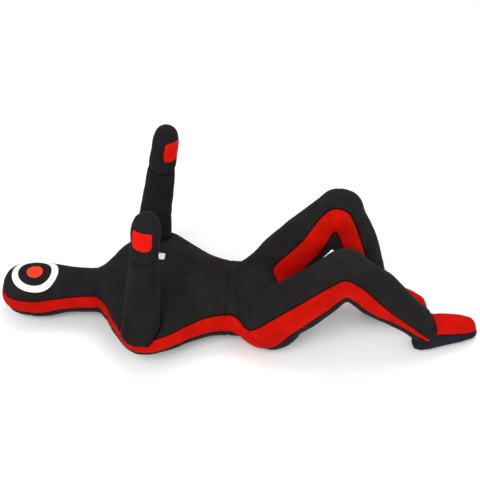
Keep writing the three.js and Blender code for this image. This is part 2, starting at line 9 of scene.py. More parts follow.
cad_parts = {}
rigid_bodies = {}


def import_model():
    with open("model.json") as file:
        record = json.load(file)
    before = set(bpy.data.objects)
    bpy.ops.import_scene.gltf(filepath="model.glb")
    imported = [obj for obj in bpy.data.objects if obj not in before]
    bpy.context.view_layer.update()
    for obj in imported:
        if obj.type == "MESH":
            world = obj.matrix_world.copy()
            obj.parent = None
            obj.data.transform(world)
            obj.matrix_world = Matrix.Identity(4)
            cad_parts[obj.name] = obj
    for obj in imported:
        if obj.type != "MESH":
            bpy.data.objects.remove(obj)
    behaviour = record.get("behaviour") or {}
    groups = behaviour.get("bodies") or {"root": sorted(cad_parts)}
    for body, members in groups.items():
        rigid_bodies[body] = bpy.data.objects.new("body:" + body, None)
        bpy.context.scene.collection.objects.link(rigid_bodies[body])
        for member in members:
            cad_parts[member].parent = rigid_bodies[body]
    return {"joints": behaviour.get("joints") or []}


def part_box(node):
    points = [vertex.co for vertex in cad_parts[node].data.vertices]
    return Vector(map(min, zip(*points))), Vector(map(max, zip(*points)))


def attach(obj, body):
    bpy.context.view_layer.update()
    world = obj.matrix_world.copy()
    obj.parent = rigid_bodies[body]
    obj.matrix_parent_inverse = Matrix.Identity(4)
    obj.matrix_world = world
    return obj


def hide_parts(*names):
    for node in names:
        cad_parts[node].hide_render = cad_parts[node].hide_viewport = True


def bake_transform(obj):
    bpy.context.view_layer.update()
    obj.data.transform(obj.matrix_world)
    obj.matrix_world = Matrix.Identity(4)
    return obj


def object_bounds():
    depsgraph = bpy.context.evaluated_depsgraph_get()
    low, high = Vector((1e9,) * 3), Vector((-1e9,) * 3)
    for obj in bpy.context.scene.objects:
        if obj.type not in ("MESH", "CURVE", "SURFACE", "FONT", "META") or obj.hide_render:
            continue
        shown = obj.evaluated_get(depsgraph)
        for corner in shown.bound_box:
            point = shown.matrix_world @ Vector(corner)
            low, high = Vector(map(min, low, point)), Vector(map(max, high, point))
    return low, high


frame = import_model()
CAD_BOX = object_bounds()
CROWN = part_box("head_front_panel")[0].x

# ---------- sizes, in metres; x along the trunk is measured from the crown ----------
GRID = 0.009                 # pitch of the first, coarse skin
FLOOR_PRESS = 0.012          # how softly the skin flattens on the floor
DOME = 0.105                 # length of the rounded crown
DOME_FULLNESS = 2.4
DOME_HALF, DOME_MIDDLE, DOME_DEEP = 0.092, 0.091, 0.093
HEAD_ROWS = [
    (0.100, 0.095, 0.094, 0.090), (0.130, 0.094, 0.094, 0.090), (0.180, 0.085, 0.087, 0.093),
    (0.235, 0.077, 0.080, 0.096), (0.290, 0.074, 0.077, 0.100), (0.370, 0.074, 0.077, 0.104),
]
TORSO_ROWS = [
    (0.330, 0.052, 0.077, 0.110), (0.356, 0.086, 0.099, 0.103), (0.390, 0.142, 0.111, 0.109),
    (0.436, 0.217, 0.117, 0.113), (0.485, 0.257, 0.118, 0.114), (0.535, 0.263, 0.119, 0.115),
    (0.590, 0.244, 0.118, 0.114), (0.660, 0.195, 0.112, 0.108), (0.720, 0.163, 0.104, 0.100),
    (0.805, 0.147, 0.098, 0.094), (0.880, 0.163, 0.103, 0.099), (0.930, 0.150, 0.097, 0.096),
    (0.960, 0.115, 0.082, 0.095), (0.980, 0.070, 0.055, 0.095),
]
ARM_ROWS = [
    (-0.06, 0.072, 0.072), (0.0, 0.066, 0.066), (0.04, 0.061, 0.061), (0.11, 0.056, 0.056),
    (0.212, 0.0500, 0.0500), (0.26, 0.047, 0.047), (0.31, 0.045, 0.045), (0.374, 0.044, 0.044),
    (0.406, 0.046, 0.045), (0.438, 0.044, 0.041), (0.462, 0.034, 0.031), (0.477, 0.012, 0.011),
]
ARM_LENGTH = 0.477
MITT_SEAM = 0.310            # from the shoulder
PALM_MIDDLE = 0.406
PALM_PATCH = (0.034, 0.039)  # half width and half length
PALM_TURN = {"right": -102.0, "left": -44.0}  # 0 faces the feet, -90 the dummy's right
THIGH_ROWS = [(0.0, 0.094), (0.16, 0.090), (0.31, 0.080), (0.40, 0.079)]
SHIN_ROWS = [(0.0, 0.073), (0.14, 0.076), (0.31, 0.057), (0.40, 0.052)]
THIGH_BOW = {"right": -0.009, "left": 0.009}   # how far the middle bows to the front
SHIN_BOW = {"right": 0.002, "left": 0.009}
SEAT = (0.030, 0.0, -0.002)  # the buttock ball, from the hip joint
SEAT_ROUND = 0.096
FOOT_ROWS = [
    (-0.030, 0.020, 0.030), (-0.020, 0.037, 0.046), (0.0, 0.047, 0.060), (0.050, 0.048, 0.066),
    (0.105, 0.046, 0.059), (0.150, 0.038, 0.050), (0.180, 0.026, 0.038), (0.194, 0.012, 0.024),
]
FOOT_PRESSED = 0.004
TOE_TURN = {"right": 17.0, "left": -4.0}
SIDE_LINE = [(0.0, 0.093), (0.20, 0.099), (0.32, 0.115), (0.45, 0.120), (0.80, 0.116), (0.95, 0.103)]

# Half height of the red strips: distance along the segment, half height
HEAD_STRIP = [(-0.02, 0.030), (0.12, 0.030), (0.40, 0.024)]
TORSO_STRIP = [(0.30, 0.023), (0.43, 0.024), (0.56, 0.029), (0.70, 0.030), (0.80, 0.034),
               (0.85, 0.044), (0.95, 0.052)]
THIGH_STRIP = [(-0.15, 0.054), (0.06, 0.048), (0.20, 0.041), (0.33, 0.036), (0.60, 0.033)]
SHIN_STRIP = [(-0.12, 0.034), (0.12, 0.030), (0.26, 0.016), (0.40, 0.008)]
SHIN_STRIP_BACK = {"right": 0.004, "left": -0.018}   # how far behind the middle the strips run

TARGET_AT = 0.122            # distance of the face target from the crown
TARGET_RING = (0.080, 0.056)
TARGET_DOT = 0.028
ZIP_RUN = (0.430, 0.672)
ZIP_HALF = 0.0128

UP = np.array([0.0, 0.0, 1.0])
TO_FEET = np.array([1.0, 0.0, 0.0])
LEFTWARD = np.array([0.0, 1.0, 0.0])
SIDES = {"right": -1.0, "left": 1.0}


# ---------- small vector tools ----------
def unit(v):
    return v / np.linalg.norm(v)


def length_of(v):
    return np.sqrt((v * v).sum(axis=-1))


def curve(rows, column=1):
    """A smooth curve through one column of a table, held constant past its ends."""
    xs = np.array([row[0] for row in rows])
    ys = np.array([row[column] for row in rows])
    slopes = np.gradient(ys, xs)

    def at(x):
        x = np.clip(x, xs[0], xs[-1])
        i = np.clip(np.searchsorted(xs, x) - 1, 0, len(xs) - 2)
        h = xs[i + 1] - xs[i]
        t = (x - xs[i]) / h
        t2, t3 = t * t, t * t * t
        return ((2 * t3 - 3 * t2 + 1) * ys[i] + (t3 - 2 * t2 + t) * h * slopes[i]
                + (3 * t2 - 2 * t3) * ys[i + 1] + (t3 - t2) * h * slopes[i + 1])

    return at


def soft_min(a, b, k):
    h = np.maximum(k - np.abs(a - b), 0) / k
    return np.minimum(a, b) - h * h * h * k / 6


def soft_max(a, b, k):
    return -soft_min(-a, -b, k)


def ramp(x, start, end):
    t = np.clip((x - start) / (end - start), 0, 1)
    return t * t * (3 - 2 * t)


def along_axis(p, origin, direction):
    """Distance along an axis, and the offset from it."""
    rel = p - origin
    s = rel @ direction
    return s, rel - s[:, None] * direction


# ---------- skeleton, from the frame's own joints ----------
JOINT = {j["name"]: np.array(j["pos_m"]) for j in frame["joints"] if "pos_m" in j}


class Limb:
    """One straight limb: its axis, its front and its outer side."""

    def __init__(self, start, end, frontward):
        self.start, self.end = start, end
        self.length = float(np.linalg.norm(end - start))
        self.along = unit(end - start)
        self.front = unit(frontward - (frontward @ self.along) * self.along)
        self.side = np.cross(self.front, self.along)

    def split(self, p):
        s, offset = along_axis(p, self.start, self.along)
        return s, offset @ self.front, offset @ self.side


def legs_of(side):
    hip, knee, ankle = (JOINT[f"{name}_{side}"] for name in ("hip_swing", "knee_bend", "ankle_tilt"))
    hinge = unit(np.cross(knee - hip, ankle - knee))
    thigh_front = np.cross(knee - hip, hinge)
    shin_front = np.cross(ankle - knee, hinge)
    thigh = Limb(hip, knee, thigh_front * np.sign(thigh_front @ UP))
    shin = Limb(knee, ankle, shin_front * np.sign(shin_front @ TO_FEET))
    turn = math.radians(TOE_TURN[side])
    toes = np.array([math.cos(turn), math.sin(turn), 0.0])
    return thigh, shin, Limb(ankle * [1, 1, 0], ankle * [1, 1, 0] + toes, UP)


def arm_of(side):
    shoulder, elbow = JOINT[f"shoulder_swing_{side}"], JOINT[f"elbow_bend_{side}"]
    return Limb(shoulder, shoulder + unit(elbow - shoulder) * ARM_LENGTH, TO_FEET)


LEGS = {side: legs_of(side) for side in SIDES}
ARMS = {side: arm_of(side) for side in SIDES}

head_half, head_deep, head_mid = (curve(HEAD_ROWS, c) for c in (1, 2, 3))
torso_half, torso_deep, torso_mid = (curve(TORSO_ROWS, c) for c in (1, 2, 3))
arm_half, arm_deep = curve(ARM_ROWS, 1), curve(ARM_ROWS, 2)
thigh_round, shin_round = curve(THIGH_ROWS), curve(SHIN_ROWS)
foot_half, foot_deep = curve(FOOT_ROWS, 1), curve(FOOT_ROWS, 2)


# ---------- the skin as a distance field ----------
def oval(u, v, a, b):
    """Distance from an oval of half width a and half depth b, measured outwards."""
    rho = np.sqrt((u / a) ** 2 + (v / b) ** 2) + 1e-9
    return np.sqrt(u * u + v * v) * (1 - 1 / rho) - 1e-9


def past_end(d, over):
    return np.where(over > 0, np.sqrt(np.maximum(d, 0) ** 2 + over ** 2), d)


def head_field(p):
    x = p[:, 0] - CROWN
    tube = oval(p[:, 1], p[:, 2] - head_mid(x), head_half(x), head_deep(x))
    forward = np.abs(np.minimum(x - DOME, 0) / DOME) ** DOME_FULLNESS
    across = np.hypot(p[:, 1] / DOME_HALF, (p[:, 2] - DOME_MIDDLE) / DOME_DEEP) ** DOME_FULLNESS
    dome = ((forward + across) ** (1 / DOME_FULLNESS) - 1) * 0.095
    return np.maximum(np.where(x < DOME, dome, tube), x - 0.38)


def torso_field(p):
    x = p[:, 0] - CROWN
    tube = oval(p[:, 1], p[:, 2] - torso_mid(x), torso_half(x), torso_deep(x))
    return past_end(np.maximum(tube, TORSO_ROWS[0][0] - x), x - TORSO_ROWS[-1][0])


def trunk_field(p):
    return soft_min(head_field(p), torso_field(p), 0.030)


def round_limb(p, limb, radius, bow=0.0):
    s, offset = along_axis(p, limb.start, limb.along)
    held = np.clip(s, 0, limb.length)
    offset = offset - (bow * np.sin(math.pi * held / limb.length))[:, None] * limb.front
    return length_of(offset + (s - held)[:, None] * limb.along) - radius(held)


def foot_field(p, foot):
    s, height, side = foot.split(p)
    held = np.clip(s, FOOT_ROWS[0][0], FOOT_ROWS[-1][0])
    deep = foot_deep(held)
    return past_end(oval(side, height - deep + FOOT_PRESSED, foot_half(held), deep), np.abs(s - held))


def arm_field(p, side):
    arm = ARMS[side]
    s, front, out = arm.split(p)
    held = np.clip(s, ARM_ROWS[0][0], ARM_LENGTH)
    return past_end(oval(out, front, arm_half(held), arm_deep(held)), np.abs(s - held))


def leg_fields(p, side):
    thigh, shin, foot = LEGS[side]
    upper = round_limb(p, thigh, thigh_round, THIGH_BOW[side])
    seat = length_of(p - thigh.start - SEAT) - SEAT_ROUND
    lower = round_limb(p, shin, shin_round, SHIN_BOW[side])
    return soft_min(upper, seat, 0.02), lower, foot_field(p, foot)


def skin_field(p):
    trunk = trunk_field(p)
    halves = []
    for side in SIDES:
        thigh, shin, foot = leg_fields(p, side)
        leg = soft_min(soft_min(thigh, shin, 0.014), foot, 0.016)
        halves.append(soft_min(soft_min(trunk, leg, 0.034), arm_field(p, side), 0.012))
    both = soft_min(halves[0], halves[1], 0.005)
    return soft_max(both, -p[:, 2], FLOOR_PRESS)


def gradient(field, p, step=0.0006):
    out = np.empty_like(p)
    for axis in range(3):
        shift = np.zeros(3)
        shift[axis] = step
        out[:, axis] = (field(p + shift) - field(p - shift)) / (2 * step)
    return out


def settle(p, field, times):
    """Moves points onto the field's surface."""
    for _ in range(times):
        slope = gradient(field, p)
        square = np.maximum((slope * slope).sum(axis=1), 0.05)
        p = p - slope * np.clip(field(p) / square, -0.01, 0.01)[:, None]
    return p


# ---------- meshing ----------
def surface_nets(field, low, high, pitch):
    """Closed quad mesh of the field's surface."""
    counts = np.ceil((high - low) / pitch).astype(int) + 1
    axes = [low[i] + pitch * np.arange(counts[i]) for i in range(3)]
    values = np.empty(counts)
    for i, x in enumerate(axes[0]):
        yy, zz = np.meshgrid(axes[1], axes[2], indexing="ij")
        points = np.stack([np.full(yy.size, x), yy.ravel(), zz.ravel()], axis=1)
        values[i] = field(points).reshape(yy.shape)
    cells = counts - 1
    total = np.zeros((*cells, 3))
    hits = np.zeros(cells)
    corner = [(i, j, k) for i in (0, 1) for j in (0, 1) for k in (0, 1)]

    def at(c):
        return values[c[0]:c[0] + cells[0], c[1]:c[1] + cells[1], c[2]:c[2] + cells[2]]

    for a in corner:
        for axis in range(3):
            if a[axis]:
                continue
            b = tuple(v + (n == axis) for n, v in enumerate(a))
            va, vb = at(a), at(b)
            crossed = (va < 0) != (vb < 0)
            t = np.where(crossed, va / np.where(crossed, va - vb, 1), 0)
            for n in range(3):
                place = t if n == axis else a[n]
                total[..., n] += np.where(crossed, place, 0)
            hits += crossed
    used = hits > 0
    number = np.full(cells, -1)
    number[used] = np.arange(used.sum())
    spots = np.argwhere(used)
    verts = low + pitch * (spots + total[used] / hits[used][:, None])
    quads = []
    for axis in range(3):
        u, v = (axis + 1) % 3, (axis + 2) % 3
        first = [slice(None)] * 3
        second = [slice(None)] * 3
        first[axis], second[axis] = slice(None, -1), slice(1, None)
        for other in (u, v):
            first[other] = second[other] = slice(1, -1)
        inside = values[tuple(first)] < 0
        crossed = inside != (values[tuple(second)] < 0)
        base = np.argwhere(crossed)
        base[:, u] += 1
        base[:, v] += 1
        ring = []
        for du, dv in ((-1, -1), (0, -1), (0, 0), (-1, 0)):
            spot = base.copy()
            spot[:, u] += du
            spot[:, v] += dv
            ring.append(number[spot[:, 0], spot[:, 1], spot[:, 2]])
        ring = np.stack(ring, axis=1)
        outward = inside[crossed]
        ring[~outward] = ring[~outward][:, ::-1]
        quads.append(ring)
    return verts, np.concatenate(quads)


def edge_numbers(a, b, count):
    """One number for each different edge, and each pair's number."""
    keys = np.minimum(a, b).astype(np.int64) * count + np.maximum(a, b)
    found, index = np.unique(keys, return_inverse=True)
    return found // count, found % count, index


def subdivide(verts, quads):
    n = len(verts)
    a, b = quads.ravel(), np.roll(quads, -1, axis=1).ravel()
    ea, eb, index = edge_numbers(a, b, n)
    middle = (verts[ea] + verts[eb]) / 2
    centre = verts[quads].mean(axis=1)
    edge = (index + n).reshape(-1, 4)
    face = n + len(middle) + np.arange(len(quads))
    small = [np.stack([quads[:, i], edge[:, i], face, edge[:, i - 1]], axis=1) for i in range(4)]
    return np.concatenate([verts, middle, centre]), np.concatenate(small)


def relax(verts, faces, times, share=0.5):
    """Evens out the points over the surface."""
    a, b = faces.ravel(), np.roll(faces, -1, axis=1).ravel()
    count = np.bincount(a, minlength=len(verts)) + np.bincount(b, minlength=len(verts))
    for _ in range(times):
        total = np.zeros_like(verts)
        for n in range(3):
            total[:, n] = (np.bincount(a, verts[b, n], len(verts))
                           + np.bincount(b, verts[a, n], len(verts)))
        verts = verts + share * (total / count[:, None] - verts)
    return verts


def vertex_normals(verts, tris):
    face = np.cross(verts[tris[:, 1]] - verts[tris[:, 0]], verts[tris[:, 2]] - verts[tris[:, 0]])
    total = np.zeros_like(verts)
    for corner in range(3):
        for n in range(3):
            total[:, n] += np.bincount(tris[:, corner], face[:, n], len(verts))
    return total / np.maximum(length_of(total), 1e-12)[:, None]


class Skin:
    """The whole skin as triangles. Cuts follow the zero lines of fields read at the rest points."""

    def __init__(self, verts, quads):
        self.rest = verts
        self.tris = np.concatenate([quads[:, [0, 1, 2]], quads[:, [0, 2, 3]]])
        self.locked = np.zeros(len(verts), bool)

    def crossings(self, values, keep):
        a = self.tris
        b = np.roll(self.tris, -1, axis=1)
        return (values[a] * values[b] < 0) & keep[a] & keep[b]

    def cut(self, field, keep_field=None):
        """Splits the triangles along field = 0, where keep_field holds."""
        values = field(self.rest)
        keep = np.ones(len(self.rest), bool) if keep_field is None else keep_field(self.rest)
        values = self.snap(values, keep)
        crossed = self.crossings(values, keep)
        rows = np.flatnonzero(crossed.any(axis=1))
        if len(rows) == 0:
            return
        tris, crossed = self.tris[rows], crossed[rows]
        nexts = np.roll(tris, -1, axis=1)
        ea, eb, index = edge_numbers(tris[crossed], nexts[crossed], len(self.rest))
        t = (values[ea] / (values[ea] - values[eb]))[:, None]
        middle = np.full(tris.shape, -1)
        middle[crossed] = len(self.rest) + index
        self.rest = np.concatenate([self.rest, self.rest[ea] * (1 - t) + self.rest[eb] * t])
        self.locked = np.concatenate([self.locked, np.ones(len(ea), bool)])
        made = []
        for tri, mid in zip(tris.tolist(), middle.tolist()):
            made += split_triangle(tri, mid)
        kept = np.delete(self.tris, rows, axis=0)
        self.tris = np.concatenate([kept, np.array(made)])

    def snap(self, values, keep, near=0.28):
        """Slides free points that lie almost on the line along an edge onto it."""
        a, b = self.tris.ravel(), np.roll(self.tris, -1, axis=1).ravel()
        crossed = (values[a] * values[b] < 0) & keep[a] & keep[b]
        a, b = a[crossed], b[crossed]
        a, b = np.concatenate([a, b]), np.concatenate([b, a])
        t = values[a] / (values[a] - values[b])
        good = (t < near) & ~self.locked[a]
        a, b, t = a[good], b[good], t[good]
        order = np.argsort(-t, kind="stable")
        target = self.rest.copy()
        target[a[order]] = (self.rest[a] * (1 - t[:, None]) + self.rest[b] * t[:, None])[order]
        self.rest = target
        self.locked[a] = True
        values = values.copy()
        values[a] = 0
        return values


def split_triangle(tri, mid):
    """Smaller triangles for one whose edge i, from corner i to the next, has a new point mid[i]."""
    cuts = [i for i in range(3) if mid[i] >= 0]
    if len(cuts) == 1:
        i = cuts[0]
        a, b, c = tri[i], tri[(i + 1) % 3], tri[(i + 2) % 3]
        return [[a, mid[i], c], [mid[i], b, c]]
    if len(cuts) == 2:
        i = next(n for n in range(3) if n not in cuts)
        a, b, c = tri[i], tri[(i + 1) % 3], tri[(i + 2) % 3]
        on_bc, on_ca = mid[(i + 1) % 3], mid[(i + 2) % 3]
        return [[a, b, on_bc], [a, on_bc, on_ca], [on_bc, c, on_ca]]
    raise ValueError("a line crosses a triangle's edges once or twice")


# ---------- where the panels meet ----------
def part_distances(p):
    """Distance to the trunk, the legs' segments and the arms."""
    out = {"trunk": trunk_field(p)}
    for side in SIDES:
        thigh, shin, foot = leg_fields(p, side)
        out.update({f"thigh_{side}": thigh, f"shin_{side}": shin, f"foot_{side}": foot,
                    f"arm_{side}": arm_field(p, side)})
    return out


def leg_distance(d, side):
    return np.minimum(np.minimum(d[f"thigh_{side}"], d[f"shin_{side}"]), d[f"foot_{side}"])


head_strip, torso_strip, side_line = curve(HEAD_STRIP), curve(TORSO_STRIP), curve(SIDE_LINE)
thigh_strip, shin_strip = curve(THIGH_STRIP), curve(SHIN_STRIP)


def front_share(p, with_half=False):
    """Over 1 on the front panels, under -1 on the back ones, and between them on the strips."""
    d = part_distances(p)
    x = p[:, 0] - CROWN
    half = np.where(x < 0.34, head_strip(x), torso_strip(x))
    shares = [(p[:, 2] - side_line(x)) / half]
    halves = [half]
    nearness = [d["trunk"]]
    for side in SIDES:
        thigh, shin, _ = LEGS[side]
        s, front, _ = thigh.split(p)
        over = np.maximum(s - thigh.length, 0)
        upper_half = thigh_strip(s)
        upper = np.where(over > 0, np.hypot(front, over), front)
        shift = min(SHIN_STRIP_BACK[side], 0)
        upper = (upper + shift * ramp(s / thigh.length, 0.60, 0.95)) / upper_half
        s, front, _ = shin.split(p)
        over = np.maximum(-s, 0)
        lower_half = shin_strip(s)
        lower = np.where(over > 0, np.hypot(front, over), front)
        lower = lower + shift + (SHIN_STRIP_BACK[side] - shift) * ramp(s / shin.length, 0.12, 0.40)
        lower = lower / lower_half
        past = ramp((p - thigh.end) @ unit(thigh.along + shin.along), -0.02, 0.02)
        shares.append(upper + (lower - upper) * past)
        halves.append(upper_half + (lower_half - upper_half) * past)
        nearness.append(np.minimum(d[f"thigh_{side}"], d[f"shin_{side}"]))
    weights = np.exp(-np.clip(np.stack(nearness) - np.min(nearness, axis=0), 0, 0.2) / 0.011)
    weights /= weights.sum(axis=0)
    share = (np.stack(shares) * weights).sum(axis=0)
    if with_half:
        return share, (np.stack(halves) * weights).sum(axis=0)
    return share


def on_arm(p, side):
    """Above 0 on the arm, below 0 on the chest beside it."""
    d = part_distances(p)
    return d["trunk"] - d[f"arm_{side}"]


def on_foot(p, side):
    """Above 0 in front of the ankle seam and round the heel under it."""
    foot = LEGS[side][2]
    s, height, _ = foot.split(p)
    return soft_max(s - 0.026, (0.100 - height) - (0.026 - s) * 0.85, 0.016)


def on_instep(p, side):
    foot = LEGS[side][2]
    s, height, _ = foot.split(p)
    return height - np.interp(s, [-0.046, 0.194], [0.116, 0.044])


def on_mitt(p, side):
    return ARMS[side].split(p)[0] - MITT_SEAM


def in_zip(p):
    x = p[:, 0] - CROWN
    middle = (ZIP_RUN[0] + ZIP_RUN[1]) / 2
    inside = soft_max(np.abs(x - middle) - (ZIP_RUN[1] - ZIP_RUN[0]) / 2,
                      np.abs(p[:, 1]) - ZIP_HALF, 0.004)
    return -inside


# ---------- where the bodies meet ----------
class Bend:
    """A joint's span of fabric: it starts on a plane and ends on a parallel one."""

    def __init__(self, parent, child, start, normal, span):
        self.parent, self.child = parent, child
        self.start, self.normal, self.span = start, unit(np.array(normal)), span
        self.end = self.start + self.normal * span

    def beyond(self, p):
        return (p - self.start) @ self.normal


def make_bends():
    neck, waist = JOINT["neck_nod"], JOINT["waist_bend"]
    bends = {
        "neck": Bend("chest", "head", neck + [0.024, 0, 0], (-1, 0, 0), 0.062),
        "waist": Bend("chest", "pelvis", waist - [0.042, 0, 0], (1, 0, 0), 0.090),
    }
    for side, y in SIDES.items():
        thigh, shin, foot = LEGS[side]
        hip_start = thigh.start * [1, 0, 1] + [0.088, 0, 0]
        bends[f"hip_{side}"] = Bend("pelvis", f"thigh_{side}", hip_start, (0.80, y * 0.48, 0.30), 0.090)
        across = unit(thigh.along + shin.along)
        bends[f"knee_{side}"] = Bend(f"thigh_{side}", f"shin_{side}", thigh.end - across * 0.062,
                                     across, 0.124)
        down = unit(shin.along * 0.6 + foot.along * 0.4 - UP * 0.3)
        bends[f"ankle_{side}"] = Bend(f"shin_{side}", f"foot_{side}", shin.end - down * 0.030,
                                      down, 0.062)
        arm = ARMS[side]
        lift = unit(arm.along + np.array([0, y * 0.5, 0]))
        bends[f"shoulder_{side}"] = Bend("chest", f"upper_arm_{side}", arm.start + lift * 0.012,
                                         lift, 0.062)
        bends[f"elbow_{side}"] = Bend(f"upper_arm_{side}", f"forearm_{side}",
                                      JOINT[f"elbow_bend_{side}"] - arm.along * 0.045, arm.along, 0.09)
    return bends


BENDS = make_bends()


# ---------- relief of the stuffed cloth ----------
def noise_at(p, cycles, seed=0.0):
    """Smooth noise from -1 to 1, with about that many lumps a metre."""
    shift = Vector((seed, seed * 0.7 + 3.1, seed * 1.3 - 2.7))
    return np.array([noise.noise(Vector(q) * cycles + shift) for q in p.tolist()])


def seam_distances(p):
    """Distance to the nearest sewn seam, near enough for the relief round it."""
    d = part_distances(p)
    far = np.full(len(p), 0.5)
    arms = {side: on_arm(p, side) for side in SIDES}
    feet = {side: (on_foot(p, side), d[f"foot_{side}"] < 0.03) for side in SIDES}
    plain = np.zeros(len(p), bool)
    for side in SIDES:
        plain |= (arms[side] > 0) | ((feet[side][0] > 0) & feet[side][1])
    share, half = front_share(p, with_half=True)
    nearest = np.where(plain, far, np.minimum(np.abs(share - 1), np.abs(share + 1)) * half)
    for side in SIDES:
        at_ankle, near_foot = feet[side]
        lines = [
            np.where(d[f"arm_{side}"] < 0.03, np.abs(arms[side]), far),
            np.where(arms[side] > 0, np.abs(on_mitt(p, side)), far),
            np.where(near_foot, np.abs(at_ankle), far),
            np.where(near_foot & (at_ankle > 0), np.abs(on_instep(p, side)), far),
        ]
        nearest = np.minimum(nearest, np.min(lines, axis=0))
    back = (share < -1) & (BENDS["waist"].beyond(p) < 0) & (BENDS["neck"].beyond(p) < 0) & ~plain
    return np.minimum(nearest, np.where(back, np.abs(p[:, 1]), far))


def creases(p, stretch, seed):
    """1 on thin wandering lines and 0 between them. The stretch packs the lines along one axis."""
    return (1 - np.abs(noise_at(p * stretch, 1.0, seed))) ** 7


def folds(p):
    """Depth of the gathers at the neck, the waist and each arm's base."""
    x = p[:, 0] - CROWN
    trunk = np.exp(-((x - 0.370) / 0.034) ** 2) + 0.8 * np.exp(-((x - 0.800) / 0.060) ** 2)
    depth = 0.0042 * trunk * creases(p, [30.0, 6.0, 6.0], 2.0)
    for side in SIDES:
        arm = ARMS[side]
        s, _, _ = arm.split(p)
        base = np.exp(-((s - 0.075) / 0.035) ** 2) * (on_arm(p, side) > 0)
        depth = depth + 0.0034 * base * creases(p, [7.0, 7.0, 34.0], 4.0)
        thigh = LEGS[side][0]
        near = np.exp(-(length_of(p - thigh.end) / 0.085) ** 2)
        depth = depth + 0.0030 * near * creases(p, [26.0, 7.0, 14.0], 6.0)
    return depth


def relief(p, seams):
    """How far the cloth stands out of the plain skin, in metres."""
    lumps = 0.0035 * noise_at(p, 9.0, 1.0) + 0.0018 * noise_at(p, 21.0, 5.0)
    pull = -0.0030 * np.exp(-(seams / 0.016) ** 2) - 0.0018 * np.exp(-(seams / 0.0035) ** 2)
    pucker = 0.0011 * noise_at(p, 62.0, 9.0) * np.exp(-(seams / 0.014) ** 2)
    return lumps + pull + pucker - folds(p)


# ---------- building the skin ----------
def build_skin():
    low = np.array(CAD_BOX[0]) - [0.02, 0.02, 0.02]
    high = np.array(CAD_BOX[1]) + [0.02, 0.02, 0.02]
    verts, quads = surface_nets(skin_field, low, high, GRID)
    verts = settle(relax(verts, quads, 4), skin_field, 2)
    verts, quads = subdivide(verts, quads)
    verts = settle(relax(verts, quads, 2), skin_field, 3)
    return Skin(verts, quads)


def nearest_leg(p, side):
    d = part_distances(p)
    other = "left" if side == "right" else "right"
    return leg_distance(d, side) < leg_distance(d, other)


def cut_skin(skin):
    """Cuts the skin along every seam and every joint's first plane."""
    for side in SIDES:
        skin.cut(lambda p, s=side: on_arm(p, s), lambda p, s=side: arm_field(p, s) < 0.03)
    for side in SIDES:
        on_seam = np.abs(on_arm(skin.rest, side)) < 2e-4
        on_seam &= arm_field(skin.rest, side) < 0.02
        bend = BENDS[f"shoulder_{side}"]
        rise = max(0.0, float(bend.beyond(skin.rest[on_seam]).max()) + 0.003)
        BENDS[f"shoulder_{side}"] = Bend(bend.parent, bend.child, bend.start + bend.normal * rise,
                                         bend.normal, bend.span)

    def near_foot(p, side):
        return foot_field(p, LEGS[side][2]) < 0.03

    def not_limb_end(p):
        keep = np.ones(len(p), bool)
        for side in SIDES:
            keep &= ~(on_arm(p, side) > 3e-4)
            keep &= ~((on_foot(p, side) > 3e-4) & near_foot(p, side))
        return keep

    for side in SIDES:
        skin.cut(lambda p, s=side: on_foot(p, s), lambda p, s=side: near_foot(p, s))
        skin.cut(lambda p, s=side: on_instep(p, s),
                 lambda p, s=side: near_foot(p, s) & (on_foot(p, s) > -3e-4))
    skin.cut(lambda p: front_share(p) - 1, not_limb_end)
    skin.cut(lambda p: front_share(p) + 1, not_limb_end)

    def under_chest(p):
        return (BENDS["waist"].beyond(p) < 0.02) & (p[:, 2] < 0.09) & not_limb_end(p)

    skin.cut(in_zip, lambda p: p[:, 2] < 0.03)
    skin.cut(lambda p: p[:, 1], under_chest)
    for side in SIDES:
        arm_only = (lambda p, s=side: (on_arm(p, s) > -3e-4) & (arm_field(p, s) < 0.03))
        skin.cut(BENDS[f"shoulder_{side}"].beyond, arm_only)
        skin.cut(BENDS[f"elbow_{side}"].beyond, arm_only)
        skin.cut(lambda p, s=side: on_mitt(p, s), arm_only)
        own_leg = (lambda p, s=side: nearest_leg(p, s) & not_limb_end(p))
        skin.cut(BENDS[f"hip_{side}"].beyond, own_leg)
        skin.cut(BENDS[f"knee_{side}"].beyond, own_leg)
        skin.cut(BENDS[f"ankle_{side}"].beyond, own_leg)
    for name in ("neck", "waist"):
        skin.cut(BENDS[name].beyond, not_limb_end)


